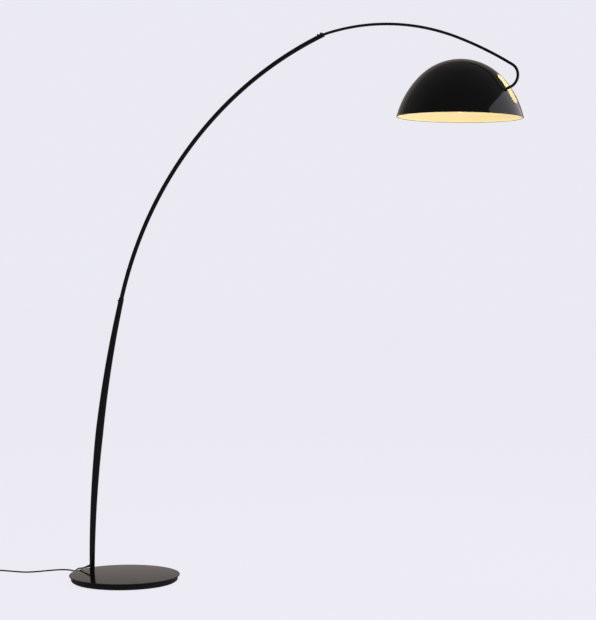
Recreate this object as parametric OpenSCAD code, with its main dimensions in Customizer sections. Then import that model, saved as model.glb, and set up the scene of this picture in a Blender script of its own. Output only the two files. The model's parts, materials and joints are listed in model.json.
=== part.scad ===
// Arc floor lamp: a round weighted base, a bent pole in two tubes, a thin hooked rod
// and a dome shade that tilts on a hinge inside it.
// +Z is up, +X runs from the pole to the shade, and the origin is on the floor
// under the middle of the base. Sizes are in millimetres.

/* [Base] */
// Diameter of the top plate
base_d = 400; // [330:5:480]
// Height of the whole base above the floor
base_h = 24; // [22:0.5:32]
// Thickness of the top plate
plate_t = 4; // [3.5:0.5:6]
// Overhang of the top plate past the weight
plate_overhang = 7; // [3:0.5:12]
// Thickness of the floor pad
pad_t = 2; // [1:0.5:3]
// Distance of the pole behind the middle of the base
pole_back = 142.5; // [100:0.5:150]

/* [Lower tube] */
// Length along the bend
lower_length = 1010; // [800:5:1220]
// Radius of the bend
lower_radius = 3865; // [3000:5:5000]
// Outside diameter at both ends
lower_end_d = 18.8; // [18.2:0.1:23]
// Outside diameter at the middle
lower_mid_d = 28.5; // [19:0.5:34]
// Wall thickness
lower_wall = 1; // [0.8:0.1:1.2]

/* [Upper tube] */
// Length along the bend, above the lower tube
upper_length = 1265; // [1000:5:1520]
// Radius of the bend
upper_radius = 1322; // [1050:2:1600]
// Outside diameter
upper_d = 15.3; // [14.5:0.1:15.6]
// Wall thickness
upper_wall = 1.2; // [1:0.1:1.4]
// Length of the straight end that slides into the lower tube
upper_insert = 50; // [30:5:80]

/* [Rod] */
// Outside diameter
rod_d = 9.2; // [7.6:0.1:10.4]
// Wall thickness
rod_wall = 1.4; // [1:0.1:1.6]
// Length held in the upper tube
rod_insert = 45; // [30:5:80]
// Radius of the short bend where it leaves the tube
neck_radius = 120; // [60:5:200]
// Turn of that bend, in degrees
neck_turn = 8.1; // [4:0.1:12]
// Radius of the long bend over the top
crown_radius = 790; // [640:5:950]
// Turn of that bend, in degrees
crown_turn = 35; // [28:0.1:42]
// Radius of the flatter bend down to the hook
fall_radius = 1305; // [1000:5:1600]
// Turn of that bend, in degrees
fall_turn = 9.4; // [5:0.1:14]
// Radius of the hook
hook_radius = 40; // [32:1:48]
// Turn of the hook, in degrees
hook_turn = 127.4; // [120:0.1:135]
// Length of straight rod between the hook and the wall of the shade
tail_outside = 4.7; // [0:0.1:20]

/* [Shade] */
// Diameter at the rim
shade_d = 411; // [345:1:495]
// Height from rim to crown
shade_h = 187; // [175:1:225]
// Radius of the round crown
shade_crown_r = 185; // [170:1:200]
// Angle that the round crown spans from the top, in degrees
shade_crown_angle = 45; // [35:1:50]
// Wall thickness
shade_t = 1.2; // [1:0.1:2]
// Thickness of the hemmed rim
hem_d = 3.4; // [2:0.1:4]
// Length of the slot that the rod passes through
slot_l = 114; // [90:1:140]
// Width of that slot
slot_w = 46; // [24:1:56]
// Lean of the slot's middle line from square to the wall, in degrees
slot_lean = -0.8; // [-5:0.1:5]
// Distance of the slot's middle up the wall from the rod
slot_shift = 1.9; // [-8:0.1:8]
// Distance of the hinge from the shade's own axis
hinge_out = 75; // [70:1:90]
// Height of the hinge above the rim
hinge_up = 54; // [45:1:66]
// Droop of the shade as it stands, in degrees
shade_droop = 1; // [-3:0.5:3]

/* [Lampholder and bulb] */
// Outside diameter of the lampholder
holder_d = 40; // [38:1:48]
// Length of the lampholder's cap
holder_cap_l = 24; // [22:1:30]
// Length of the lampholder's skirt
holder_skirt_l = 32; // [28:1:40]
// Diameter of the bulb's screw cap
bulb_cap_d = 26.4; // [26:0.1:26.6]
// Diameter of the bulb
bulb_d = 60; // [45:1:68]
// Length of the bulb below its cap
bulb_l = 80; // [70:1:86]

/* [Cord] */
// Diameter of the mains cord
cord_d = 5.5; // [5:0.1:6.5]
// Height of the cord outlet above the base
outlet_up = 22; // [20:0.5:30]
// Downward slope of the outlet, in degrees
outlet_slope = 20; // [10:1:25]
// Length of the foot switch
switch_l = 90; // [80:1:100]
// Width of the foot switch
switch_w = 44; // [40:1:48]
// Height of the foot switch
switch_h = 24; // [22:1:28]
// Diameter of its button
button_d = 24; // [18:1:26]
// How far the button stands proud
button_proud = 5; // [4:0.5:7]

/* [Hidden] */

// Clearances
fit = 0.05;
slack = 0.15;
cut = 1;

// Sizes of bought-in fasteners: thread, head and nut
bolt_d = 10;
bolt_head_af = 17;
bolt_head_h = 6.4;
bolt_washer_d = 30;
bolt_washer_t = 2.5;
spring_washer_t = 2.2;
bolt_grip = 12;
plate_screw_d = 5;
plate_screw_ring = 120;
plate_screw_bite = 3;
small_screw_d = 4;
small_head_d = 6.6;
small_head_h = 2.8;
hinge_d = 5;
post_d = 8;
post_l = 12;
post_spread = 25;
nipple_d = 10;
nut_af = 14;
nut_h = 3;

// Base
pocket_d = 36;
pocket_h = 11;
weight_d = base_d - 2 * plate_overhang;
weight_h = base_h - plate_t - pad_t;
weight_edge = 5;
plate_edge = 1.2;
pad_d = weight_d - 14;

// Pole, followed from foot to hinge as [x, z] points and headings in degrees
function turn_of(length, radius) = length / radius * 180 / PI;
function along(p, h, r, t) = [p[0] + r * (sin(h) - sin(h - t)), p[1] + r * (cos(h - t) - cos(h))];
foot = [-pole_back, base_h];
lower_turn = turn_of(lower_length, lower_radius);
mouth = along(foot, 90, lower_radius, lower_turn);
mouth_h = 90 - lower_turn;
upper_turn = turn_of(upper_length, upper_radius);
tip = along(mouth, mouth_h, upper_radius, upper_turn);
tip_h = mouth_h - upper_turn;
insert_turn = turn_of(rod_insert, upper_radius);
rod_start = along(tip, tip_h, upper_radius, -insert_turn);
rod_start_h = tip_h + insert_turn;
crown = along(tip, tip_h, neck_radius, neck_turn);
crown_h = tip_h - neck_turn;
fall = along(crown, crown_h, crown_radius, crown_turn);
fall_h = crown_h - crown_turn;
hook = along(fall, fall_h, fall_radius, fall_turn);
hook_h = fall_h - fall_turn;
tail = along(hook, hook_h, hook_radius, hook_turn);
tail_h = hook_h - hook_turn;

// Profile of the dome, from its own axis and rim: a round crown, then a side arc round side_mid
crown_edge = [
    shade_crown_r * sin(shade_crown_angle),
    shade_h - shade_crown_r * (1 - cos(shade_crown_angle))
];
side_run = shade_d / 2 - crown_edge[0];
side_slope = atan2(crown_edge[1], side_run);
side_angle = 2 * side_slope - shade_crown_angle;
side_r = norm([side_run, crown_edge[1]]) / (2 * sin(side_slope - shade_crown_angle));
side_mid = crown_edge - side_r * [sin(shade_crown_angle), cos(shade_crown_angle)];
dome_steps = 16;

// The rod leaves the hinge along rod_way and crosses the wall wall_reach away
rod_way = [cos(tail_h + 180), sin(tail_h + 180)];
hinge_from_mid = [hinge_out, hinge_up] - side_mid;
hinge_run = hinge_from_mid * rod_way;
wall_reach = sqrt(pow(hinge_run, 2) - pow(norm(hinge_from_mid), 2) + pow(side_r, 2)) - hinge_run;
crossing = hinge_from_mid + wall_reach * rod_way;
wall_slope = atan2(crossing[1], crossing[0]);
slot_mid = wall_reach * rod_way + slot_shift * [-sin(wall_slope), cos(wall_slope)];
tail_length = wall_reach + tail_outside;
pivot = tail - tail_length * rod_way;

lower_sides = 32;
lower_rings = 20;
rod_sides = 24;
lower_end_bore = lower_end_d - 2 * lower_wall;
upper_bore = upper_d - 2 * upper_wall;
bush_flange_h = 5;
bush_skirt_l = 18;
joint_screw_down = 9;
plug_h = 14;
tip_screw_places = [6, 18];
rod_bore = rod_d - 2 * rod_wall;
lead_d = 4.2;
lead_start = 40;

// Hinge
knuckle_d = 14;
knuckle_w = 9;
knuckle_sleeve_l = 17;
washer_t = 1;
cheek_in = knuckle_w / 2 + washer_t + 2 * fit;
cheek_t = 3;
cheek_d = 15;
cheek_out = cheek_in + cheek_t;
rod_gap = 9.5;
block_x = 9.2;
leg_x = 16;
strap_t = 2.5;
strap_w = 22;
strap_bend = 12;
block_half = 12;
clevis_screw_up = 8;
lead_gap = 2.5;
lead_in = 2.5;

// Shade, in the frame of the hinge
shade_x = -hinge_out;
rim_z = -hinge_up;
apex_z = rim_z + shade_h;
crown_in_z = apex_z - shade_t;
strap_top = crown_in_z - post_l;
strap_under = strap_top - strap_t;

// Lampholder and bulb, below the strap
cap_top = strap_under - nut_h;
cap_low = cap_top - holder_cap_l;
skirt_low = cap_low - holder_skirt_l;
bulb_top = skirt_low + 6;
bulb_neck_r = bulb_cap_d / 2 + 0.3;
bulb_neck_l = 8;
bulb_neck_angle = 20;
holder_wall = 2;
shell_d = bulb_cap_d + 0.6;
lead_bend = (hinge_out - leg_x - strap_t - holder_d / 2 - lead_gap) / 2;

// Cord outlet
outlet = along(foot, 90, lower_radius, turn_of(outlet_up, lower_radius));
outlet_h = 180 + outlet_slope;
gland_l = 32;
gland_hole_d = cord_d + 2.1;

// Foot switch
switch_at = [-622, -58, 0];
switch_boss_l = 6;
switch_boss_d = 10;
switch_body_l = switch_l - 2 * switch_boss_l;
switch_split = 10;
switch_wall = 2;
switch_corner = 14;
switch_draft = 5;
button_flange = 1.5;
cord_axis_z = 5.5;
switch_screw_out = switch_body_l / 2 - 8;

// Coil: three turns on the floor and two lying on them
coil_at = [-625, -150, 1];
coil_in = 25.5;
coil_turns = 3;
coil_h = cord_d + cord_d * sin(60);
tie_t = 0.8;
tie_w = 12;

// Plug
plug_at = [-560, -120, 7];
plug_l = 35;
plug_w = 26;
plug_t = 14;
pin_d = 4;
pin_l = 19;
pin_gap = 19;

// Route of the cord's middle line: outlet to foot switch, foot switch to coil, coil to plug
route_out = [
    [-146.2, 0, 44.6], [-159, 0, 40], [-172.5, 0, 35], [-186, 2, 30.6], [-200, 8, 27.6],
    [-215, 17, 24], [-231, 29, 17.2], [-246, 42, 10.4], [-261, 55, 5.2], [-277, 66, 2.8],
    [-294, 72, 2.75], [-312, 71, 2.75], [-329, 62, 2.75], [-344, 47, 2.75], [-357, 29, 2.75],
    [-370, 9, 2.75], [-384, -11, 2.75], [-399, -29, 2.75], [-417, -41, 2.75], [-438, -47, 2.75],
    [-460, -49, 2.75], [-484, -51, 2.75], [-508, -54, 2.75], [-532, -57, 3], [-555, -58, 4.2],
    [-577, -58, 5.5]
];
route_back = [
    [-667, -58, 5.5], [-683, -59, 3.6], [-699, -64, 2.75], [-713, -73, 2.75], [-723, -86, 2.75],
    [-729, -101, 2.75], [-731, -117, 2.75], [-729, -134, 2.75], [-723, -150, 2.75], [-713, -165, 2.75],
    [-699, -177, 2.75], [-682, -184, 2.9], [-664, -186.5, 3.4], [-645, -186.5, 3.75]
];
route_end = [
    [-601.1, -173.9, 8.5], [-596, -168.5, 8.9], [-590, -162.5, 9.3], [-584, -156.6, 8.4],
    [-578, -150, 6.8], [-571, -141, 5.6], [-564, -131, 6.1], [-560, -120, 7]
];

// Stands a piece on the bend at point p, with its +Z along heading h
module placed(p, h) {
    translate([p[0], 0, p[1]]) rotate([0, 90 - h, 0]) children();
}

// Round bar bent to radius r: it starts at p with heading h and turns by t
module bent_bar(p, h, r, t, d) {
    translate([p[0] + r * sin(h), 0, p[1] - r * cos(h)])
        rotate([90, 0, 0])
        rotate([0, 0, h - t + 90])
        rotate_extrude(angle = t, $fn = 256)
        translate([r, 0])
        circle(d = d, $fn = 48);
}

// Bent tube with open ends
module bent_tube(p, h, r, t, d, bore) {
    over = turn_of(cut, r);
    difference() {
        bent_bar(p, h, r, t, d);
        bent_bar(along(p, h, r, -over), h + over, r, t + 2 * over, bore);
    }
}

// Ring with its bore along Z
module ring(outer, bore, h) {
    difference() {
        cylinder(d = outer, h = h, $fn = 72);
        translate([0, 0, -cut]) cylinder(d = bore, h = h + 2 * cut, $fn = 72);
    }
}

// Six-sided bar, a hexagon of width af across its flats
module hex_bar(af, h) {
    cylinder(d = af / cos(30), h = h, $fn = 6);
}

// Lies a piece built along +Z down along +Y
module along_y(y) {
    translate([0, y, 0]) rotate([-90, 0, 0]) children();
}

// Everything that tilts with the shade is drawn round the hinge
module in_head() {
    translate([pivot[0], 0, pivot[1]]) rotate([0, shade_droop, 0]) children();
}

// Disc with both edges rounded, by radius low and radius high
module rounded_disc(d, h, low, high) {
    rotate_extrude($fn = 180) {
        translate([0, low]) square([d / 2, h - low - high]);
        square([d / 2 - low, h / 2]);
        translate([0, h / 2]) square([d / 2 - high, h / 2]);
        translate([d / 2 - low, low]) circle(r = low, $fn = 48);
        translate([d / 2 - high, h - high]) circle(r = high, $fn = 48);
    }
}

// Flat outline with round corners
module rounded_rect(l, w, r) {
    square([l - 2 * r, w], center = true);
    square([l, w - 2 * r], center = true);
    for (x = [-1, 1], y = [-1, 1])
        translate([x * (l / 2 - r), y * (w / 2 - r)]) circle(r = r, $fn = 48);
}

module base_plate() color([0.02, 0.02, 0.02]) {
    difference() {
        translate([0, 0, base_h - plate_t]) rounded_disc(base_d, plate_t, plate_edge, plate_edge);
        translate([foot[0], 0, 0]) cylinder(d = bolt_d + 2 * slack, h = base_h + cut, $fn = 72);
        at_plate_screws()
            cylinder(d = plate_screw_d + 2 * fit, h = base_h - plate_t + plate_screw_bite + fit, $fn = 72);
    }
}

module at_plate_screws() {
    for (a = [45:90:315]) rotate([0, 0, a]) translate([plate_screw_ring, 0, 0]) children();
}

module base_weight() color([0.05, 0.05, 0.05]) {
    difference() {
        translate([0, 0, pad_t]) rounded_disc(weight_d, weight_h, weight_edge, 0.5);
        translate([foot[0], 0, 0]) {
            cylinder(d = bolt_d + 2 * slack, h = base_h, $fn = 72);
            cylinder(d = pocket_d, h = pad_t + pocket_h, $fn = 72);
        }
        at_plate_screws() {
            cylinder(d = plate_screw_d + 2 * slack, h = base_h, $fn = 72);
            cylinder(d = 2 * plate_screw_d + 1, h = pad_t + plate_screw_d, $fn = 72);
        }
    }
}

module floor_pad() color([0.1, 0.1, 0.1]) {
    difference() {
        cylinder(d = pad_d, h = pad_t, $fn = 180);
        translate([foot[0], 0, -cut]) cylinder(d = pocket_d, h = pad_t + 2 * cut, $fn = 72);
        at_plate_screws()
            translate([0, 0, -cut])
            cylinder(d = 2 * plate_screw_d + 1, h = pad_t + 2 * cut, $fn = 72);
    }
}

module base_screws() color([0.6, 0.6, 0.62]) {
    seat = pad_t + plate_screw_d;
    at_plate_screws() {
        difference() {
            translate([0, 0, seat - 3]) cylinder(d = 2 * plate_screw_d, h = 3, $fn = 72);
            translate([0, 0, seat - 3 - cut]) hex_bar(3, cut + 2);
        }
        translate([0, 0, seat])
            cylinder(d = plate_screw_d, h = base_h - plate_t + plate_screw_bite - seat, $fn = 72);
    }
}

module pole_bolt() color([0.6, 0.6, 0.62]) {
    seat = pad_t + pocket_h - bolt_washer_t - spring_washer_t;
    translate([foot[0], 0, seat - bolt_head_h]) hex_bar(bolt_head_af, bolt_head_h);
    translate([foot[0], 0, seat]) cylinder(d = bolt_d, h = base_h + bolt_grip - seat, $fn = 72);
}

module pole_washers() color([0.65, 0.65, 0.67]) {
    top = pad_t + pocket_h;
    translate([foot[0], 0, top - bolt_washer_t]) ring(bolt_washer_d, bolt_d + 2 * slack, bolt_washer_t);
    translate([foot[0], 0, top - bolt_washer_t - spring_washer_t])
        ring(1.7 * bolt_d, bolt_d + 2 * slack, spring_washer_t);
}

module foot_plug() color([0.5, 0.5, 0.52]) {
    placed(foot, 90) ring(lower_end_bore - 2 * fit, bolt_d + 2 * fit, plug_h);
}

// Bends are followed as stations [x, z, heading], and a ring of corners stands square at each
function station(p, h, r, t) = let (e = along(p, h, r, t)) [e[0], e[1], h - t];
function bend(p, h, r, t, n) = [for (i = [1:n]) station(p, h, r, t * i / n)];
function ring_at(st, d, n) = [
    for (k = [0:n - 1])
        let (a = 360 * k / n, x = d / 2 * cos(a))
        [st[0] + x * sin(st[2]), d / 2 * sin(a), st[1] - x * cos(st[2])]
];

// Solid skinned over a list of rings, closed at both ends
module solid_sweep(rings) {
    n = len(rings[0]);
    last = (len(rings) - 1) * n;
    faces = [
        for (i = [0:len(rings) - 2], k = [0:n - 1])
            let (a = i * n + k, b = i * n + (k + 1) % n)
            each [[a, a + n, b + n], [a, b + n, b]],
        [for (k = [0:n - 1]) k],
        [for (k = [n - 1:-1:0]) last + k]
    ];
    polyhedron(points = [for (r = rings) each r], faces = faces, convexity = 6);
}

// Tube skinned over outer and inner rings, open at both ends
module tube_sweep(outer, inner) {
    n = len(outer[0]);
    last = (len(outer) - 1) * n;
    skin = len(outer) * n;
    faces = [
        for (i = [0:len(outer) - 2], k = [0:n - 1])
            let (a = i * n + k, b = i * n + (k + 1) % n)
            each [
                [a, a + n, b + n], [a, b + n, b],
                [skin + a, skin + b + n, skin + a + n], [skin + a, skin + b, skin + b + n]
            ],
        for (k = [0:n - 1])
            let (b = (k + 1) % n)
            each [
                [k, b, skin + b], [k, skin + b, skin + k],
                [last + b, last + k, skin + last + k], [last + b, skin + last + k, skin + last + b]
            ]
    ];
    polyhedron(points = [for (r = concat(outer, inner)) each r], faces = faces, convexity = 4);
}

// Tapered tube, thickest at its middle
function lower_d(s) = lower_end_d + (lower_mid_d - lower_end_d) * (1 - abs(2 * s / lower_length - 1));
lower_places = [for (i = [0:lower_rings]) i * lower_length / lower_rings];
function lower_skin(t) = [
    for (s = lower_places)
        ring_at(station(foot, 90, lower_radius, turn_of(s, lower_radius)), lower_d(s) - 2 * t, lower_sides)
];

module lower_tube() color([0.02, 0.02, 0.02]) {
    difference() {
        tube_sweep(lower_skin(0), lower_skin(lower_wall));
        placed(outlet, outlet_h) cylinder(d = gland_hole_d, h = lower_end_d, $fn = 72);
        placed(mouth, mouth_h)
            translate([0, 0, -joint_screw_down])
            rotate([0, -90, 0])
            cylinder(d = small_screw_d + 2 * fit, h = lower_end_d, $fn = 72);
    }
}

// Liner between the two tubes, with a tapered lip that covers the step
module mouth_bush() color([0.04, 0.04, 0.04]) {
    placed(mouth, mouth_h) difference() {
        union() {
            translate([0, 0, -bush_skirt_l])
                cylinder(d = lower_end_bore - 2 * fit, h = bush_skirt_l, $fn = 72);
            cylinder(d1 = lower_end_d, d2 = upper_d + 1.2, h = bush_flange_h, $fn = 72);
        }
        translate([0, 0, -bush_skirt_l - cut])
            cylinder(d = upper_d + 4 * fit, h = bush_skirt_l + bush_flange_h + 2 * cut, $fn = 72);
        translate([0, 0, -joint_screw_down])
            rotate([0, -90, 0])
            cylinder(d = small_screw_d + 2 * fit, h = lower_end_d, $fn = 72);
    }
}

// Screw with a round socket head, from the point at z = 0 outwards along +Z
module clamp_screw(shank_l) {
    cylinder(d = small_screw_d, h = shank_l, $fn = 72);
    translate([0, 0, shank_l]) difference() {
        cylinder(d = small_head_d, h = small_head_h, $fn = 72);
        translate([0, 0, small_head_h - 2]) hex_bar(3, 2 + cut);
    }
}

module joint_screw() color([0.05, 0.05, 0.05]) {
    reach = lower_end_d / 2 + 0.3;
    placed(mouth, mouth_h)
        translate([-upper_d / 2 - fit, 0, -joint_screw_down])
        rotate([0, -90, 0])
        clamp_screw(reach - upper_d / 2);
}

module guide_bush() color([0.85, 0.85, 0.82]) {
    step = (lower_mid_d - lower_end_d) / lower_length * 2;
    wide = lower_end_bore + (upper_insert - 12) * step - 0.9;
    placed(mouth, mouth_h)
        translate([0, 0, -upper_insert])
        ring(wide, upper_d + 2 * fit, 10);
}

module upper_tube() color([0.02, 0.02, 0.02]) {
    difference() {
        union() {
            bent_tube(mouth, mouth_h, upper_radius, upper_turn, upper_d, upper_bore);
            placed(mouth, mouth_h)
                translate([0, 0, -upper_insert])
                ring(upper_d - fit, upper_bore + fit, upper_insert + 2);
        }
        at_rod_screws() cylinder(d = small_screw_d + 2 * fit, h = upper_d, $fn = 72);
    }
}

// The two clamp screws at the end of the upper tube, on its outer side
module at_rod_screws() {
    for (back = tip_screw_places) {
        t = turn_of(back, upper_radius);
        placed(along(tip, tip_h, upper_radius, -t), tip_h + t) rotate([0, -90, 0]) children();
    }
}

// Reducing plug that carries the rod in the end of the upper tube
module tip_plug() color([0.05, 0.05, 0.05]) {
    turn = insert_turn + turn_of(1, upper_radius);
    outer = upper_bore - 2 * fit;
    difference() {
        union() {
            bent_tube(rod_start, rod_start_h, upper_radius, turn, outer, rod_d + 4 * fit);
            placed(tip, tip_h) ring(upper_d, rod_d + 6 * fit, 2);
        }
        at_rod_screws() cylinder(d = small_screw_d + 2 * fit, h = upper_d, $fn = 72);
    }
}

module rod_screws() color([0.05, 0.05, 0.05]) {
    at_rod_screws()
        translate([0, 0, rod_d / 2 + fit])
        clamp_screw((upper_d - rod_d) / 2 + 0.2);
}

// Stations of the rod from its held end, beyond the first one, to a gap short of the hinge
function rod_path(end_gap) = concat(
    bend(rod_start, rod_start_h, upper_radius, insert_turn, 2),
    bend(tip, tip_h, neck_radius, neck_turn, 5),
    bend(crown, crown_h, crown_radius, crown_turn, 20),
    bend(fall, fall_h, fall_radius, fall_turn, 5),
    bend(hook, hook_h, hook_radius, hook_turn, 22),
    [[pivot[0] - end_gap * cos(tail_h), pivot[1] - end_gap * sin(tail_h), tail_h]]
);

module rod() color([0.02, 0.02, 0.02]) {
    path = concat([[rod_start[0], rod_start[1], rod_start_h]], rod_path(rod_gap));
    tube_sweep(
        [for (st = path) ring_at(st, rod_d, rod_sides)],
        [for (st = path) ring_at(st, rod_bore, rod_sides)]
    );
}

// Flex that runs inside the pole from the outlet to the hinge
module inner_lead() color([0.9, 0.9, 0.88]) {
    start_turn = turn_of(lead_start, lower_radius);
    start = station(foot, 90, lower_radius, start_turn);
    path = concat(
        [start],
        bend([start[0], start[1]], start[2], lower_radius, lower_turn - start_turn, 10),
        bend(mouth, mouth_h, upper_radius, upper_turn - insert_turn, 20),
        rod_path(rod_gap + 2)
    );
    solid_sweep([for (st = path) ring_at(st, lead_d, 8)]);
}

module cord_gland() color([0.04, 0.04, 0.04]) {
    wall_r = lower_d(outlet_up) / 2;
    placed(outlet, outlet_h) difference() {
        translate([0, 0, wall_r - 3]) cylinder(d = gland_hole_d - 2 * slack, h = 6, $fn = 72);
        cylinder(d = cord_d, h = gland_l + cut, $fn = 72);
    }
    difference() {
        placed(outlet, outlet_h) difference() {
            union() {
                translate([0, 0, wall_r - 2]) cylinder(d = gland_hole_d + 3, h = 4.4, $fn = 72);
                translate([0, 0, wall_r])
                    cylinder(d1 = gland_hole_d + 1.6, d2 = cord_d + 1.4, h = gland_l - wall_r, $fn = 72);
            }
            cylinder(d = cord_d, h = gland_l + cut, $fn = 72);
        }
        placed(foot, 90) cylinder(r = wall_r + slack, h = 4 * outlet_up, $fn = 72);
    }
}

module rod_knuckle() color([0.05, 0.05, 0.05]) {
    placed(pivot, tail_h + 180) difference() {
        union() {
            along_y(-knuckle_w / 2) cylinder(d = knuckle_d, h = knuckle_w, $fn = 72);
            cylinder(d = knuckle_w - 1, h = rod_gap, $fn = 72);
            translate([0, 0, rod_gap - 1]) cylinder(d = rod_d + 4, h = knuckle_sleeve_l, $fn = 72);
        }
        along_y(-knuckle_w) cylinder(d = hinge_d + 2 * fit, h = 2 * knuckle_w, $fn = 72);
        translate([0, 0, rod_gap]) cylinder(d = rod_d + 2 * fit, h = knuckle_sleeve_l, $fn = 72);
    }
}

module tilt_clevis() color([0.55, 0.55, 0.57]) {
    in_head() difference() {
        union() {
            for (y = [-cheek_out, cheek_in]) {
                along_y(y) cylinder(d = cheek_d, h = cheek_t, $fn = 72);
                translate([-block_x - cut, y, -cheek_d / 2]) cube([block_x + cut, cheek_t, cheek_d]);
            }
            translate([-leg_x, -cheek_out, -block_half])
                cube([leg_x - block_x, 2 * cheek_out, 2 * block_half]);
        }
        along_y(-2 * cheek_out) cylinder(d = hinge_d + 2 * fit, h = 4 * cheek_out, $fn = 72);
        for (z = [-1, 1])
            translate([-leg_x - cut, 0, z * clevis_screw_up])
                rotate([0, 90, 0])
                cylinder(d = small_screw_d + 2 * fit, h = leg_x, $fn = 72);
        translate([-leg_x - cut, 0, 0])
            rotate([0, 90, 0])
            cylinder(d = lead_d + 2 * slack, h = leg_x, $fn = 72);
    }
}

module hinge_bolt() color([0.6, 0.6, 0.62]) {
    in_head() {
        along_y(-cheek_out) cylinder(d = hinge_d, h = 2 * cheek_out + 6.5, $fn = 72);
        difference() {
            along_y(-cheek_out - hinge_d) cylinder(d = 1.7 * hinge_d, h = hinge_d, $fn = 72);
            along_y(-cheek_out - hinge_d - cut) hex_bar(4, 2.5 + cut);
        }
    }
}

// Lock nut with a plain collar
module hinge_nut() color([0.6, 0.6, 0.62]) {
    in_head() along_y(cheek_out + fit) difference() {
        union() {
            hex_bar(8, 4);
            cylinder(d = 7.4, h = 5, $fn = 72);
        }
        translate([0, 0, -cut]) cylinder(d = hinge_d + 2 * fit, h = 5 + 2 * cut, $fn = 72);
    }
}

module friction_washers() color([0.3, 0.28, 0.25]) {
    in_head()
        for (y = [-knuckle_w / 2 - washer_t - fit, knuckle_w / 2 + fit])
            along_y(y) ring(12, hinge_d + 2 * fit, washer_t);
}

module clevis_screws() color([0.6, 0.6, 0.62]) {
    in_head() for (z = [-1, 1])
        translate([-leg_x - strap_t + small_screw_d / 2 + 6, 0, z * clevis_screw_up])
            rotate([0, -90, 0])
            clamp_screw(small_screw_d / 2 + 6);
}

// Bent steel strap that joins the clevis to the crown of the shade
module hanger_strap() color([0.7, 0.7, 0.7]) {
    leg_top = strap_top - strap_bend;
    end_x = shade_x - post_spread - 10;
    in_head() difference() {
        union() {
            translate([-leg_x - strap_t, -strap_w / 2, -block_half])
                cube([strap_t, strap_w, leg_top + block_half]);
            translate([end_x, -strap_w / 2, strap_under])
                cube([-leg_x - strap_bend - end_x, strap_w, strap_t]);
            translate([-leg_x - strap_bend, strap_w / 2, leg_top])
                rotate([90, 0, 0])
                rotate_extrude(angle = 90, $fn = 72)
                translate([strap_bend - strap_t, 0])
                square([strap_t, strap_w]);
        }
        for (x = [-1, 1])
            translate([shade_x + x * post_spread, 0, strap_under - cut])
                cylinder(d = hinge_d + 2 * slack, h = strap_t + 2 * cut, $fn = 72);
        translate([shade_x, 0, strap_under - cut])
            cylinder(d = nipple_d + 2 * slack, h = strap_t + 2 * cut, $fn = 72);
        for (z = [-1, 1])
            translate([-leg_x - strap_t - cut, 0, z * clevis_screw_up])
                rotate([0, 90, 0])
                cylinder(d = small_screw_d + 2 * slack, h = strap_t + 2 * cut, $fn = 72);
        translate([-leg_x - strap_t - cut, 0, 0])
            rotate([0, 90, 0])
            cylinder(d = lead_d + 2 * slack, h = strap_t + 2 * cut, $fn = 72);
    }
}

// Posts welded under the crown, each with a threaded end
module crown_posts() color([0.7, 0.7, 0.7]) {
    inner_r = shade_crown_r - shade_t - 2 * fit;
    in_head() for (x = [-1, 1]) {
        at_x = shade_x + x * post_spread;
        translate([at_x, 0, strap_under - 5.5]) cylinder(d = hinge_d, h = 8, $fn = 72);
        intersection() {
            translate([at_x, 0, strap_top]) cylinder(d = post_d, h = 2 * post_l, $fn = 72);
            translate([shade_x, 0, apex_z - shade_crown_r]) sphere(r = inner_r, $fn = 128);
        }
    }
}

module post_nuts() color([0.6, 0.6, 0.62]) {
    in_head() for (x = [-1, 1])
        translate([shade_x + x * post_spread, 0, strap_under - 4]) difference() {
            hex_bar(8, 4);
            translate([0, 0, -cut]) cylinder(d = hinge_d + 2 * fit, h = 4 + 2 * cut, $fn = 72);
        }
}

module holder_nipple() color([0.75, 0.65, 0.35]) {
    in_head() translate([shade_x, 0, cap_top - 6]) ring(nipple_d, 7, strap_top + nut_h + 1 - cap_top + 6);
}

module nipple_nuts() color([0.75, 0.65, 0.35]) {
    in_head() for (z = [strap_under - nut_h, strap_top])
        translate([shade_x, 0, z]) difference() {
            hex_bar(nut_af, nut_h);
            translate([0, 0, -cut]) cylinder(d = nipple_d + 2 * fit, h = nut_h + 2 * cut, $fn = 72);
        }
}

module holder_cap() color([0.03, 0.03, 0.03]) {
    inner = holder_d - 2 * holder_wall;
    in_head() difference() {
        translate([shade_x, 0, cap_low]) rounded_disc(holder_d, holder_cap_l, 0.4, 6);
        translate([shade_x, 0, cap_low - cut]) cylinder(d = inner, h = holder_cap_l - 7 + cut, $fn = 72);
        translate([shade_x, 0, cap_low]) cylinder(d = nipple_d + 2 * fit, h = holder_cap_l + cut, $fn = 72);
        translate([shade_x, 0, cap_low + 12])
            rotate([0, 90, 0])
            cylinder(d = lead_d + 2 * slack, h = holder_d, $fn = 72);
    }
}

// Insulating insert with the screw shell that takes the bulb
module holder_core() color([0.92, 0.9, 0.85]) {
    floor_z = cap_low + 8.5;
    in_head() translate([shade_x, 0, 0]) {
        translate([0, 0, floor_z]) cylinder(d = holder_d - 2 * holder_wall - 1, h = 1.2, $fn = 72);
        translate([0, 0, skirt_low + 8]) ring(shell_d + 1.2, shell_d, floor_z - skirt_low - 8);
    }
}

module holder_skirt() color([0.03, 0.03, 0.03]) {
    bore = shell_d + 2;
    in_head() translate([shade_x, 0, 0]) {
        translate([0, 0, skirt_low]) ring(holder_d, bore, holder_skirt_l);
        translate([0, 0, cap_low - fit]) ring(holder_d - 2 * holder_wall - 2 * fit, bore, 8);
    }
}

module bulb_cap() color([0.8, 0.8, 0.8]) {
    in_head() translate([shade_x, 0, bulb_top]) {
        cylinder(d = bulb_cap_d, h = 22, $fn = 72);
        translate([0, 0, 22]) cylinder(d1 = bulb_cap_d - 4, d2 = 12, h = 4, $fn = 72);
        translate([0, 0, 26]) cylinder(d = 9, h = 1.5, $fn = 72);
    }
}

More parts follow.
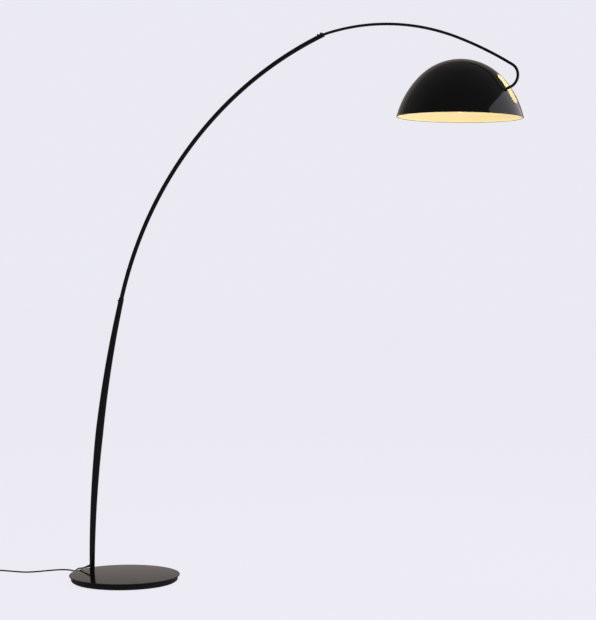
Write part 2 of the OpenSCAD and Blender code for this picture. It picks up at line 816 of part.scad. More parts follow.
// Solid of the bulb's outside shape, drawn in by t all round
module bulb_shape(t) {
    r = bulb_d / 2;
    mid = bulb_top - bulb_l + r;
    a = bulb_neck_angle;
    rotate_extrude($fn = 96) {
        intersection() {
            translate([0, mid]) circle(r = r - t, $fn = 128);
            translate([0, mid - r]) square([r, 2 * r]);
        }
        polygon([
            [0, mid], [(r - t) * cos(a), mid + (r - t) * sin(a)], [bulb_neck_r - t, bulb_top - bulb_neck_l],
            [bulb_neck_r - t, bulb_top], [0, bulb_top]
        ]);
    }
}

module bulb_globe() color([1, 0.95, 0.8]) {
    in_head() translate([shade_x, 0, 0]) difference() {
        bulb_shape(0);
        bulb_shape(1);
        translate([0, 0, bulb_top - cut]) cylinder(r = bulb_neck_r - 1.2, h = 2 * cut, $fn = 72);
    }
}

// Profile of the dome: a round crown and a longer side arc that meets it without a corner
function dome_line(t) = concat(
    [[0, shade_h - t]],
    [
        for (i = [1:dome_steps])
            let (a = shade_crown_angle * i / dome_steps)
            [(shade_crown_r - t) * sin(a), shade_h - shade_crown_r + (shade_crown_r - t) * cos(a)]
    ],
    [
        for (i = [1:dome_steps])
            let (a = shade_crown_angle + (side_angle - shade_crown_angle) * i / dome_steps)
            [side_mid[0] + (side_r - t) * sin(a), side_mid[1] + (side_r - t) * cos(a)]
    ]
);

module shade() color([0.02, 0.02, 0.02]) {
    outer = dome_line(0);
    inner = dome_line(shade_t);
    in_head() difference() {
        translate([shade_x, 0, rim_z]) {
            rotate_extrude($fn = 180)
                polygon(concat(outer, [for (i = [len(inner) - 1:-1:0]) inner[i]]));
            rotate_extrude($fn = 180)
                translate([shade_d / 2 - hem_d / 2 + 0.3, 0])
                circle(d = hem_d, $fn = 48);
        }
        translate([slot_mid[0], 0, slot_mid[1]]) rotate([0, 90 - wall_slope - slot_lean, 0])
            translate([0, 0, -30])
            linear_extrude(60) {
                square([slot_l - slot_w, slot_w], center = true);
                for (x = [-1, 1]) translate([x * (slot_l - slot_w) / 2, 0]) circle(d = slot_w, $fn = 96);
            }
    }
}

// Flex from the hinge up beside the strap and into the lampholder
module head_lead() color([0.9, 0.9, 0.88]) {
    start = [-leg_x - strap_t, 0];
    entry = cap_low + 12;
    lead_x = start[0] - lead_bend;
    in_head() {
        placed([-leg_x + 3, 0], 180) cylinder(d = lead_d, h = strap_t + 3, $fn = 48);
        bent_bar(start, 180, lead_bend, 90, lead_d);
        placed([lead_x, lead_bend], 90) cylinder(d = lead_d, h = entry - 2 * lead_bend, $fn = 48);
        bent_bar([lead_x - lead_bend, entry], 0, lead_bend, 90, lead_d);
        placed([lead_x - lead_bend, entry], 180)
            cylinder(d = lead_d, h = lead_gap + holder_wall + lead_in, $fn = 48);
    }
}

// Rings of a cord: each stands square to the line between the points beside it
function unit(v) = v / norm(v);
function cord_ring(route, i) =
    let (
        f = unit(route[min(i + 1, len(route) - 1)] - route[max(i - 1, 0)]),
        s = unit(cross([0, 0, 1], f)),
        u = cross(f, s)
    )
    [for (k = [0:9]) route[i] + cord_d / 2 * (cos(36 * k) * s + sin(36 * k) * u)];

module cord_tube(route) {
    solid_sweep([for (i = [0:len(route) - 1]) cord_ring(route, i)]);
}

module cord_to_switch() color([0.03, 0.03, 0.03]) cord_tube(route_out);

module cord_to_coil() color([0.03, 0.03, 0.03]) cord_tube(route_back);

module cord_end() color([0.03, 0.03, 0.03]) cord_tube(route_end);

// Round bosses at both ends of the foot switch, where the cord goes in
module switch_bosses(bore) {
    for (a = [0, 180])
        rotate([0, 0, a])
            translate([switch_body_l / 2 - 3, 0, cord_axis_z])
            rotate([0, 90, 0])
            difference() {
                cylinder(d = switch_boss_d, h = switch_boss_l + 3, $fn = 72);
                translate([0, 0, -cut]) cylinder(d = bore, h = 3 + cut, $fn = 72);
            }
}

module switch_base() color([0.03, 0.03, 0.03]) {
    in_l = 2 * switch_wall;
    translate(switch_at) {
        difference() {
            linear_extrude(switch_split) rounded_rect(switch_body_l, switch_w, switch_corner);
            translate([0, 0, switch_wall])
                linear_extrude(switch_split)
                rounded_rect(switch_body_l - in_l, switch_w - in_l, switch_corner - switch_wall);
            at_switch_screws() translate([0, 0, -cut]) {
                cylinder(d = 3 + 2 * slack, h = switch_wall + 2 * cut, $fn = 72);
                cylinder(d = 5.4 + 2 * slack, h = cut + 1.1, $fn = 72);
            }
        }
        intersection() {
            switch_bosses(cord_d);
            difference() {
                translate([0, 0, switch_split / 2])
                    cube([2 * switch_l, switch_w, switch_split], center = true);
                cube([switch_body_l - switch_wall, switch_w, 4 * switch_h], center = true);
            }
        }
    }
}

module at_switch_screws() {
    for (x = [-1, 1]) translate([x * switch_screw_out, 0, 0]) children();
}

module switch_top() color([0.03, 0.03, 0.03]) {
    top_l = switch_body_l - 2 * switch_draft;
    top_w = switch_w - 2 * switch_draft;
    in_l = 2 * switch_wall;
    in_r = switch_corner - switch_wall;
    translate(switch_at) {
        difference() {
            hull() {
                translate([0, 0, switch_split]) linear_extrude(4)
                    rounded_rect(switch_body_l, switch_w, switch_corner, $fn = 32);
                translate([0, 0, switch_h - 1]) linear_extrude(1)
                    rounded_rect(top_l, top_w, switch_corner - 2, $fn = 32);
            }
            hull() {
                translate([0, 0, switch_split - cut]) linear_extrude(4)
                    rounded_rect(switch_body_l - in_l, switch_w - in_l, in_r, $fn = 32);
                translate([0, 0, switch_h - switch_wall - 1]) linear_extrude(1)
                    rounded_rect(top_l - in_l, top_w - in_l, in_r - 2, $fn = 32);
            }
            cylinder(d = button_d + 0.6, h = switch_h + cut, $fn = 96);
        }
        at_switch_screws() translate([0, 0, switch_split - 6]) difference() {
            cylinder(d = 6, h = switch_h - switch_split + 4.5, $fn = 72);
            translate([0, 0, -cut]) cylinder(d = 3 + 2 * fit, h = 9 + cut, $fn = 72);
        }
    }
}

// Sealed push-push switch unit
module switch_core() color([0.9, 0.9, 0.88]) {
    translate(switch_at + [-15, -10, switch_wall]) cube([30, 20, 8]);
}

module switch_screws() color([0.6, 0.6, 0.62]) {
    translate(switch_at) at_switch_screws() {
        translate([0, 0, 0.3]) cylinder(d = 5.4, h = 0.8, $fn = 72);
        translate([0, 0, 1.1]) cylinder(d = 3, h = 10, $fn = 72);
    }
}

module switch_button() color([0.35, 0.35, 0.36]) {
    dish = 2.2 * button_d;
    under = switch_h - switch_wall - 0.4;
    top = switch_h + button_proud;
    translate(switch_at) {
        intersection() {
            translate([0, 0, under - 2]) cylinder(d = button_d, h = top - under + 2, $fn = 96);
            translate([0, 0, top - dish]) sphere(r = dish, $fn = 128);
        }
        translate([0, 0, under - button_flange]) cylinder(d = button_d + 3, h = button_flange, $fn = 96);
        translate([0, 0, switch_split + 4]) cylinder(d = 7, h = under - switch_split - 5, $fn = 72);
    }
}

// Outer shape of the tied coil
module cord_coil() color([0.03, 0.03, 0.03]) {
    inner = coil_in - cord_d / 2;
    translate(coil_at) ring(2 * (inner + coil_turns * cord_d), 2 * inner, coil_h);
}

// Strap round the coil, opposite the plug
module cord_tie() color([0.06, 0.06, 0.06]) {
    inner = coil_in - cord_d / 2;
    deep = coil_turns * cord_d;
    translate(coil_at) rotate([0, 0, 150]) translate([inner - tie_t, -tie_w / 2, -tie_t]) difference() {
        cube([deep + 2 * tie_t + 1.2, tie_w, coil_h + 2 * tie_t]);
        translate([0.01, -cut, tie_t - 0.01]) cube([deep + tie_t + 1.1, tie_w + 2 * cut, coil_h + 0.02]);
    }
}

// Flat two-pin plug lying on its side
module plug_body() color([0.03, 0.03, 0.03]) {
    neck = 9;
    translate(plug_at) difference() {
        union() {
            hull() {
                translate([0, neck, 0]) rotate([-90, 0, 0]) cylinder(d = 10, h = 1, $fn = 32);
                for (y = [neck + 9, plug_l - 1])
                    translate([0, y, 0])
                    rotate([-90, 0, 0])
                    linear_extrude(1)
                    rounded_rect(plug_w, plug_t, 6, $fn = 32);
            }
            rotate([-90, 0, 0]) cylinder(d1 = cord_d + 1.6, d2 = 10, h = neck + 0.2, $fn = 72);
        }
        for (x = [-1, 1])
            translate([x * pin_gap / 2, plug_l - 8, 0])
                rotate([-90, 0, 0])
                cylinder(d = pin_d, h = 8 + cut, $fn = 72);
    }
}

module plug_pins() color([0.85, 0.85, 0.85]) {
    translate(plug_at) for (x = [-1, 1]) translate([x * pin_gap / 2, plug_l - 8, 0]) {
        rotate([-90, 0, 0]) cylinder(d = pin_d, h = pin_l + 6, $fn = 72);
        translate([0, pin_l + 6, 0])
            rotate([-90, 0, 0])
            cylinder(d1 = pin_d, d2 = pin_d - 1.6, h = 2, $fn = 72);
    }
}

base_plate();
base_weight();
floor_pad();
base_screws();
pole_bolt();
pole_washers();
foot_plug();
lower_tube();
mouth_bush();
joint_screw();
guide_bush();
upper_tube();
tip_plug();
rod_screws();
rod();
inner_lead();
cord_gland();
rod_knuckle();
tilt_clevis();
hinge_bolt();
hinge_nut();
friction_washers();
clevis_screws();
hanger_strap();
crown_posts();
post_nuts();
holder_nipple();
nipple_nuts();
holder_cap();
holder_core();
holder_skirt();
bulb_cap();
bulb_globe();
shade();
head_lead();
cord_to_switch();
switch_base();
switch_top();
switch_core();
switch_screws();
switch_button();
cord_to_coil();
cord_coil();
cord_tie();
cord_end();
plug_body();
plug_pins();
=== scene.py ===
import bpy, bmesh, json
from math import sin, cos, pi, radians, degrees, atan2, hypot
from mathutils import Vector, Matrix


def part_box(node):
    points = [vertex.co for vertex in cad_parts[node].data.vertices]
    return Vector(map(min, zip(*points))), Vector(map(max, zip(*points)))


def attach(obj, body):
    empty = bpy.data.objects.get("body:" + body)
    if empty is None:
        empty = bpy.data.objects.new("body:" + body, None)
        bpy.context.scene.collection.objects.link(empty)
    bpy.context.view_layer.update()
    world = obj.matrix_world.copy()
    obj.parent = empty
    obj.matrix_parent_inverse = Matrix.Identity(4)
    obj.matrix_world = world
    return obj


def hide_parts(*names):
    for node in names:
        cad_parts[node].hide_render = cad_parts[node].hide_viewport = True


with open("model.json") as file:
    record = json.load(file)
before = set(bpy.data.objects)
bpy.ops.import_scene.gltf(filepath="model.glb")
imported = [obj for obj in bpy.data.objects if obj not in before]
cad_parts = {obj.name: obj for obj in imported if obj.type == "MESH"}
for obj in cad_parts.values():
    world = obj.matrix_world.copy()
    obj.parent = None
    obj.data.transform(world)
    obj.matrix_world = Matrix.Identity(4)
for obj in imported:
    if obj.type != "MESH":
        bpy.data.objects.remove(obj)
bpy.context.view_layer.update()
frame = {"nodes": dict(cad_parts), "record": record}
node = frame["nodes"]
scene = bpy.context.scene
scene.view_settings.view_transform = "Standard"
print("frame loaded,", len(node), "nodes")

# camera
shot = {
    "place": (3.389, -5.032, 1.116),
    "heading": (-0.46947, 0.88295),
    "dip": 1.258,         # degrees below level
    "lens": 96.82,
    "across": 36.0,       # sensor, long side
    "shift": (0.0, 0.0),
    "sees": (0.05, 200),  # nearest and farthest distance
}


def setCamera():
    lens = bpy.data.cameras.new("shotCamera")
    lens.lens = shot["lens"]
    lens.sensor_width = shot["across"]
    lens.sensor_fit = "AUTO"
    lens.shift_x, lens.shift_y = shot["shift"]
    lens.clip_start, lens.clip_end = shot["sees"]
    cam = bpy.data.objects.new("shotCamera", lens)
    scene.collection.objects.link(cam)
    dip = radians(shot["dip"])
    hx, hy = shot["heading"]
    look = Vector((hx * cos(dip), hy * cos(dip), -sin(dip)))
    right = look.cross(Vector((0, 0, 1))).normalized()
    turn = Matrix((right, right.cross(look), -look)).transposed()
    cam.location = shot["place"]
    cam.rotation_mode = "QUATERNION"
    cam.rotation_quaternion = turn.to_quaternion()
    scene.camera = cam


setCamera()


# small tools for making pieces
def newPiece(name, verts, faces, finishes, smooth=True, parts=None):
    mesh = bpy.data.meshes.new(name)
    mesh.from_pydata([tuple(v) for v in verts], [], faces)
    for m in finishes:
        mesh.materials.append(m)
    if parts:
        mesh.polygons.foreach_set("material_index", parts)
    mesh.polygons.foreach_set("use_smooth", [smooth] * len(mesh.polygons))
    mesh.validate()
    obj = bpy.data.objects.new(name, mesh)
    scene.collection.objects.link(obj)
    return obj


def sharpen(obj, angle=35):
    # hard edges where the faces turn by more than the angle
    bm = bmesh.new()
    bm.from_mesh(obj.data)
    bmesh.ops.recalc_face_normals(bm, faces=bm.faces)
    for e in bm.edges:
        e.smooth = not (len(e.link_faces) == 2 and e.calc_face_angle() > radians(angle))
    bm.to_mesh(obj.data)
    bm.free()
    return obj


def finishPiece(obj, body, slot, *replaced):
    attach(obj, body)
    if replaced:
        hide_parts(*replaced)
    return obj


def turned(name, profile, place, finish, steps=96):
    # profile is a closed loop of (radius, height); points on the axis become poles
    verts, rings, faces = [], [], []
    for r, h in profile:
        if r < 1e-7:
            rings.append([len(verts)])
            verts.append(place @ Vector((0, 0, h)))
        else:
            rings.append(list(range(len(verts), len(verts) + steps)))
            verts += [place @ Vector((r * cos(2 * pi * k / steps), r * sin(2 * pi * k / steps), h))
                      for k in range(steps)]
    for a, b in zip(rings, rings[1:] + rings[:1]):
        if len(a) == 1 and len(b) == 1:
            continue
        for k in range(steps):
            n = (k + 1) % steps
            if len(a) == 1:
                faces.append((a[0], b[n], b[k]))
            elif len(b) == 1:
                faces.append((a[k], a[n], b[0]))
            else:
                faces.append((a[k], a[n], b[n], b[k]))
    return sharpen(newPiece(name, verts, faces, [finish]))


def arc(cx, cz, r, a0, a1, n):
    # points on a circle, angles in degrees from the radius axis
    turns = [radians(a0 + (a1 - a0) * i / n) for i in range(n + 1)]
    return [(cx + r * cos(t), cz + r * sin(t)) for t in turns]


def sweptTube(name, stations, outer, bore, finish, sides=40):
    # stations are (point, heading) in the plane of the arc
    verts, faces = [], []
    for radii in (outer, bore):
        for (p, h), r in zip(stations, radii):
            across = Vector((sin(radians(h)), 0, -cos(radians(h))))
            for k in range(sides):
                a = 2 * pi * k / sides
                verts.append(p + across * r * cos(a) + Vector((0, r * sin(a), 0)))
    n = len(stations)
    skin = n * sides
    for i in range(n - 1):
        for k in range(sides):
            a, b = i * sides + k, i * sides + (k + 1) % sides
            faces.append((a, a + sides, b + sides, b))
            faces.append((skin + a, skin + b, skin + b + sides, skin + a + sides))
    for k in range(sides):
        m = (k + 1) % sides
        faces.append((k, m, skin + m, skin + k))
        last = (n - 1) * sides
        faces.append((last + m, last + k, skin + last + k, skin + last + m))
    return sharpen(newPiece(name, verts, faces, [finish]))


# finishes
def shaderStart(name):
    mat = bpy.data.materials.new(name)
    mat.use_nodes = True
    tree = mat.node_tree
    return mat, tree, tree.nodes["Principled BSDF"]


def noiseAt(tree, coords, scale, detail=4, stretch=None):
    noise = tree.nodes.new("ShaderNodeTexNoise")
    noise.inputs["Scale"].default_value = scale
    noise.inputs["Detail"].default_value = detail
    if stretch:
        mapping = tree.nodes.new("ShaderNodeMapping")
        mapping.inputs["Scale"].default_value = stretch
        tree.links.new(coords.outputs["Object"], mapping.inputs["Vector"])
        tree.links.new(mapping.outputs["Vector"], noise.inputs["Vector"])
    else:
        tree.links.new(coords.outputs["Object"], noise.inputs["Vector"])
    return noise


def spread(tree, source, low, high, start=0.3, end=0.7):
    ranged = tree.nodes.new("ShaderNodeMapRange")
    ranged.inputs["From Min"].default_value = start
    ranged.inputs["From Max"].default_value = end
    ranged.inputs["To Min"].default_value = low
    ranged.inputs["To Max"].default_value = high
    tree.links.new(source, ranged.inputs["Value"])
    return ranged.outputs["Result"]


def surface(name, look):
    # one recipe for all solid finishes: mottled colour, uneven gloss, fine relief and worn edges
    mat, tree, bsdf = shaderStart(name)
    coords = tree.nodes.new("ShaderNodeTexCoord")
    base = look["colour"]
    patches = noiseAt(tree, coords, look.get("patchScale", 9), 5, look.get("stretch"))
    mixed = tree.nodes.new("ShaderNodeMix")
    mixed.data_type = "RGBA"
    vary = look.get("mottle", 0.12)
    mixed.inputs["A"].default_value = [c * (1 - vary) for c in base] + [1]
    mixed.inputs["B"].default_value = [min(1, c * (1 + vary)) for c in base] + [1]
    tree.links.new(patches.outputs["Fac"], mixed.inputs["Factor"])
    colour = mixed.outputs["Result"]
    if "wear" in look:
        # edges rub lighter where the form turns sharply
        edge = tree.nodes.new("ShaderNodeNewGeometry")
        rubbed = tree.nodes.new("ShaderNodeMix")
        rubbed.data_type = "RGBA"
        rubbed.inputs["B"].default_value = list(look["wear"]) + [1]
        rubs = spread(tree, edge.outputs["Pointiness"], 0, 0.35, 0.53, 0.62)
        tree.links.new(rubs, rubbed.inputs["Factor"])
        tree.links.new(colour, rubbed.inputs["A"])
        colour = rubbed.outputs["Result"]
    tree.links.new(colour, bsdf.inputs["Base Color"])
    low, high = look["gloss"]
    smears = noiseAt(tree, coords, look.get("smearScale", 22), 6, look.get("stretch"))
    tree.links.new(spread(tree, smears.outputs["Fac"], low, high), bsdf.inputs["Roughness"])
    bsdf.inputs["Metallic"].default_value = look.get("metal", 0)
    bsdf.inputs["IOR"].default_value = 1.5
    grain = noiseAt(tree, coords, look.get("grainScale", 600), 3, look.get("stretch"))
    bump = tree.nodes.new("ShaderNodeBump")
    bump.inputs["Strength"].default_value = look.get("grain", 0.05)
    bump.inputs["Distance"].default_value = look.get("grainDepth", 0.0004)
    tree.links.new(grain.outputs["Fac"], bump.inputs["Height"])
    tree.links.new(bump.outputs["Normal"], bsdf.inputs["Normal"])
    if "glow" in look:
        bsdf.inputs["Emission Color"].default_value = list(look["glow"]) + [1]
        bsdf.inputs["Emission Strength"].default_value = look["glowPower"]
    return mat


looks = {
    "black_lacquer": {"colour": (0.003, 0.003, 0.0033), "gloss": (0.10, 0.17), "grainScale": 260,
                      "grain": 0.05, "wear": (0.03, 0.03, 0.032)},
    "base_lacquer": {"colour": (0.010, 0.0085, 0.008), "gloss": (0.07, 0.13), "grainScale": 220,
                     "grain": 0.03, "wear": (0.05, 0.048, 0.045), "patchScale": 5},
    "cast_weight": {"colour": (0.012, 0.012, 0.012), "gloss": (0.42, 0.58), "grainScale": 420,
                    "grain": 0.35, "wear": (0.06, 0.058, 0.055)},
    "floor_rubber": {"colour": (0.03, 0.03, 0.03), "gloss": (0.75, 0.95), "grainScale": 900,
                     "grain": 0.6},
    "shade_lacquer": {"colour": (0.009, 0.0088, 0.0088), "gloss": (0.06, 0.10), "grainScale": 180,
                      "grain": 0.02, "patchScale": 4},
    "black_steel": {"colour": (0.016, 0.016, 0.017), "gloss": (0.28, 0.42), "grainScale": 700,
                    "grain": 0.12, "wear": (0.16, 0.16, 0.165)},
    "zinc_steel": {"colour": (0.60, 0.61, 0.63), "gloss": (0.24, 0.40), "metal": 1, "grainScale": 500,
                   "grain": 0.08, "mottle": 0.18, "patchScale": 60, "wear": (0.8, 0.8, 0.8)},
    "strap_steel": {"colour": (0.66, 0.66, 0.67), "gloss": (0.30, 0.48), "metal": 1,
                    "stretch": (1, 22, 1), "grainScale": 160, "grain": 0.12, "mottle": 0.1},
    "brass": {"colour": (0.74, 0.56, 0.26), "gloss": (0.22, 0.36), "metal": 1, "grainScale": 500,
              "grain": 0.06},
    "black_plastic": {"colour": (0.014, 0.014, 0.015), "gloss": (0.38, 0.52), "grainScale": 1400,
                      "grain": 0.25, "grainDepth": 0.0002, "wear": (0.05, 0.05, 0.05)},
    "white_plastic": {"colour": (0.84, 0.82, 0.76), "gloss": (0.30, 0.42), "grainScale": 900,
                      "grain": 0.06, "mottle": 0.04},
    "grey_plastic": {"colour": (0.11, 0.11, 0.115), "gloss": (0.34, 0.46), "grainScale": 1200,
                     "grain": 0.2, "grainDepth": 0.0002},
    "fibre": {"colour": (0.26, 0.22, 0.17), "gloss": (0.7, 0.9), "grainScale": 1600, "grain": 0.5},
    "nickel": {"colour": (0.74, 0.72, 0.68), "gloss": (0.14, 0.26), "metal": 1, "grainScale": 300,
               "grain": 0.04, "mottle": 0.06},
    "opal_glass": {"colour": (1.0, 0.95, 0.86), "gloss": (0.12, 0.2), "grainScale": 90, "grain": 0.02,
                   "mottle": 0.02, "glow": (1.0, 0.86, 0.60), "glowPower": 1.5},
    "cord_pvc": {"colour": (0.011, 0.011, 0.012), "gloss": (0.34, 0.46), "grainScale": 900,
                 "grain": 0.12, "grainDepth": 0.0002, "patchScale": 30},
    "lead_pvc": {"colour": (0.80, 0.78, 0.72), "gloss": (0.3, 0.42), "grainScale": 900,
                 "grain": 0.08},
}
finish = {slot: surface(slot, look) for slot, look in looks.items()}
cream = surface("cream_inside", {"colour": (0.94, 0.84, 0.56), "gloss": (0.42, 0.58), "grainScale": 320,
                                 "grain": 0.06, "mottle": 0.03, "patchScale": 6})
for part in frame["record"]["subparts"]:
    mesh = node[part["node"]].data
    mesh.materials.clear()
    mesh.materials.append(finish[part["material_slot"]])
    mesh.polygons.foreach_set("material_index", [0] * len(mesh.polygons))
print("finishes ready,", len(finish) + 1)

# mains cord, laid out on the floor
cordSize = 0.0055
cordRoute = {
    # from the outlet to the foot switch, straight through it, and on to the coil
    "out": [
        (-0.150, 0, 0.0432), (-0.159, 0, 0.040), (-0.1725, 0, 0.035),
        (-0.186, 0.002, 0.0306), (-0.200, 0.008, 0.0276), (-0.215, 0.017, 0.024),
        (-0.231, 0.029, 0.0172), (-0.246, 0.042, 0.0104), (-0.261, 0.055, 0.0052),
        (-0.277, 0.066, 0.0028), (-0.294, 0.072, 0.00275), (-0.312, 0.071, 0.00275),
        (-0.329, 0.062, 0.00275), (-0.344, 0.047, 0.00275), (-0.357, 0.029, 0.00275),
        (-0.370, 0.009, 0.00275), (-0.384, -0.011, 0.00275), (-0.399, -0.029, 0.00275),
        (-0.417, -0.041, 0.00275), (-0.438, -0.047, 0.00275), (-0.460, -0.049, 0.00275),
        (-0.484, -0.051, 0.00275), (-0.508, -0.054, 0.00275), (-0.532, -0.057, 0.003),
        (-0.555, -0.058, 0.0042), (-0.577, -0.058, 0.0055),
    ],
    "back": [
        (-0.667, -0.058, 0.0055), (-0.683, -0.059, 0.0036), (-0.699, -0.064, 0.00275),
        (-0.713, -0.073, 0.00275), (-0.723, -0.086, 0.00275), (-0.729, -0.101, 0.00275),
        (-0.731, -0.117, 0.00275), (-0.729, -0.134, 0.00275), (-0.723, -0.150, 0.00275),
        (-0.713, -0.165, 0.00275), (-0.699, -0.177, 0.00275), (-0.682, -0.184, 0.0029),
        (-0.664, -0.1865, 0.0034), (-0.645, -0.1865, 0.00375),
    ],
    # from the coil to the plug
    "end": [
        (-0.596, -0.1685, 0.0089), (-0.590, -0.1625, 0.0093), (-0.584, -0.1566, 0.0084),
        (-0.578, -0.150, 0.0068), (-0.571, -0.141, 0.0056), (-0.564, -0.131, 0.0061),
        (-0.560, -0.120, 0.007),
    ],
}
coil = {
    "middle": (-0.625, -0.150),
    "low": 0.00375,           # centre of the turns that lie on the floor
    "high": 0.00851,          # centre of the turns that lie on them
    "radii": [0.0365, 0.031, 0.0255, 0.02825, 0.03375],
    "crossFrom": 240,         # degrees into each turn where it moves over to the next radius
    "stepsPerTurn": 48,
    "hump": 0.0009,
}


def easeIn(t):
    t = min(1, max(0, t))
    return t * t * (3 - 2 * t)


def coilLine():
    pts = []
    n = coil["stepsPerTurn"]
    last = len(coil["radii"]) - 1
    for turn, r in enumerate(coil["radii"]):
        count = n // 8 if turn == last else n - 1
        for i in range(0 if turn else 1, count + 1):
            deg = 360 * i / n
            s = (deg - coil["crossFrom"]) / (360 - coil["crossFrom"])
            after = coil["radii"][min(turn + 1, last)]
            rad = r + (after - r) * min(1, max(0, s))
            z = coil["low"] if turn < 3 else coil["high"]
            if turn == 2:       # climbs onto the turns below
                z += (coil["high"] - coil["low"]) * easeIn((deg - 140) / 100)
            if turn >= 2 and s > 0 and turn < last:
                z += coil["hump"] * sin(pi * s) ** 0.6
            a = radians(deg - 90)
            pts.append(Vector((coil["middle"][0] + rad * cos(a), coil["middle"][1] + rad * sin(a), z)))
    return pts


def smoothLine(pts, step=0.004):
    # even points on a smooth line through the listed ones
    pts = [Vector(p) for p in pts]
    out = []
    for i in range(len(pts) - 1):
        a, b = pts[i], pts[i + 1]
        before, after = pts[max(i - 1, 0)], pts[min(i + 2, len(pts) - 1)]
        n = max(1, round((b - a).length / step))
        for k in range(n):
            t = k / n
            out.append(0.5 * (2 * a + (b - before) * t + (2 * before - 5 * a + 4 * b - after) * t * t
                              + (3 * a - before - 3 * b + after) * t ** 3))
    for p in out:
        p.z = max(p.z, cordSize / 2)        # never below the floor
    return out + [pts[-1]]


def layCord():
    pts = smoothLine(cordRoute["out"] + cordRoute["back"] + coilLine() + cordRoute["end"])
    line = bpy.data.curves.new("mainsCord", "CURVE")
    line.dimensions = "3D"
    line.bevel_depth = cordSize / 2
    line.bevel_resolution = 5
    line.use_fill_caps = True
    spline = line.splines.new("POLY")
    spline.points.add(len(pts) - 1)
    for p, v in zip(spline.points, pts):
        p.co = (*v, 1)
    line.materials.append(finish["cord_pvc"])
    obj = bpy.data.objects.new("mainsCord", line)
    scene.collection.objects.link(obj)
    length = sum((b - a).length for a, b in zip(pts, pts[1:]))
    finishPiece(obj, "stand", "cord_pvc", "cord_to_switch", "cord_to_coil", "cord_coil", "cord_end")
    return obj, length


mainsCord, cordLength = layCord()
print("cord laid,", round(cordLength, 3), "m")

# pole
poleShape = {
    "foot": (-0.1425, 0.024),
    "lower": (3.865, 1.010),        # radius and length of the bend
    "lowerWide": (0.0188, 0.0285),  # ends and middle
    "lowerWall": 0.001,
    "upper": (1.322, 1.265),
    "upperWide": 0.0153,
    "upperWall": 0.0012,
    "insert": 0.05,
    "rodWide": 0.0092,
    "rodWall": 0.0014,
    "rodInsert": 0.045,
    # radius, turn and number of rings of each bend of the rod
    "rodBends": [(0.120, 8.1, 6), (0.790, 35.0, 44), (1.305, 9.4, 12), (0.040, 127.4, 44)],
    "tail": 0.10301,
    "tailGap": 0.0095,
}


def along(p, h, r, t):
    # end of a bend of radius r that turns by t degrees
    a, b = radians(h), radians(h - t)
    return (p[0] + r * (sin(a) - sin(b)), p[1] + r * (cos(b) - cos(a)))


def station(p, h):
    return Vector((p[0], 0, p[1])), h


def bend(p, h, r, t, n):
    return [station(along(p, h, r, t * i / n), h - t * i / n) for i in range(1, n + 1)]


lowerRadius, lowerLength = poleShape["lower"]
lowerTurn = degrees(lowerLength / lowerRadius)
foot = poleShape["foot"]
mouth, mouthHeading = along(foot, 90, lowerRadius, lowerTurn), 90 - lowerTurn
upperRadius, upperLength = poleShape["upper"]
upperTurn = degrees(upperLength / upperRadius)
tip, tipHeading = along(mouth, mouthHeading, upperRadius, upperTurn), mouthHeading - upperTurn


def headingVector(h):
    return Vector((cos(radians(h)), 0, sin(radians(h))))


def makePole():
    ends, middle = poleShape["lowerWide"]
    n = 60
    line = [station(foot, 90)] + bend(foot, 90, lowerRadius, lowerTurn, n)
    wide = [(ends + (middle - ends) * (1 - abs(2 * i / n - 1))) / 2 for i in range(n + 1)]
    bore = [w - poleShape["lowerWall"] for w in wide]
    lower = sweptTube("lowerTube", line, wide, bore, finish["black_lacquer"], 48)
    finishPiece(lower, "stand", "black_lacquer", "lower_tube")

    back = Vector((mouth[0], 0, mouth[1])) - headingVector(mouthHeading) * poleShape["insert"]
    line = [(back, mouthHeading), station(mouth, mouthHeading)]
    line += bend(mouth, mouthHeading, upperRadius, upperTurn, 80)
    r = poleShape["upperWide"] / 2
    upper = sweptTube("upperTube", line, [r] * len(line), [r - poleShape["upperWall"]] * len(line),
                      finish["black_lacquer"])
    finishPiece(upper, "stand", "black_lacquer", "upper_tube")


def rodLine():
    held = degrees(poleShape["rodInsert"] / upperRadius)
    start, h = along(tip, tipHeading, upperRadius, -held), tipHeading + held
    line = [station(start, h)] + bend(start, h, upperRadius, held, 3)
    p, h = tip, tipHeading
    for r, t, n in poleShape["rodBends"]:
        line += bend(p, h, r, t, n)
        p, h = along(p, h, r, t), h - t
    end = Vector((p[0], 0, p[1])) + headingVector(h) * poleShape["tail"]
    line.append((end - headingVector(h) * poleShape["tailGap"], h))
    return line, end


rodStations, hinge = rodLine()


def makeRod():
    r = poleShape["rodWide"] / 2
    n = len(rodStations)
    bore = [r - poleShape["rodWall"]] * n
    rod = sweptTube("hookedRod", rodStations, [r] * n, bore, finish["black_lacquer"], 32)
    finishPiece(rod, "stand", "black_lacquer", "rod")


makePole()
makeRod()
print("pole and rod made, hinge at", [round(c, 4) for c in hinge])

# base
baseShape = {"wide": 0.400, "high": 0.024, "plate": 0.004, "overhang": 0.007, "pad": 0.002,
             "edge": 0.0012, "weightEdge": 0.005, "boltHole": 0.0053, "pocket": 0.018, "pocketTop": 0.013}


def makeBase():
    b = baseShape
    top, r, e = b["high"], b["wide"] / 2, b["edge"]
    under = top - b["plate"]
    rim = arc(r - e, under + e, e, -90, 0, 8) + arc(r - e, top - e, e, 0, 90, 8)
    profile = [(0, under)] + rim + [(0, top)]
    plate = turned("basePlate", profile, Matrix.Identity(4), finish["base_lacquer"], 256)
    finishPiece(plate, "stand", "base_lacquer", "base_plate")
    wr, we = r - b["overhang"], b["weightEdge"]
    profile = ([(0, b["pad"])] + arc(wr - we, b["pad"] + we, we, -90, 0, 12)
               + arc(wr - 0.0005, under - 0.0005, 0.0005, 0, 90, 4) + [(0, under)])
    weight = turned("baseWeight", profile, Matrix.Identity(4), finish["cast_weight"], 256)
    finishPiece(weight, "stand", "cast_weight", "base_weight")


makeBase()

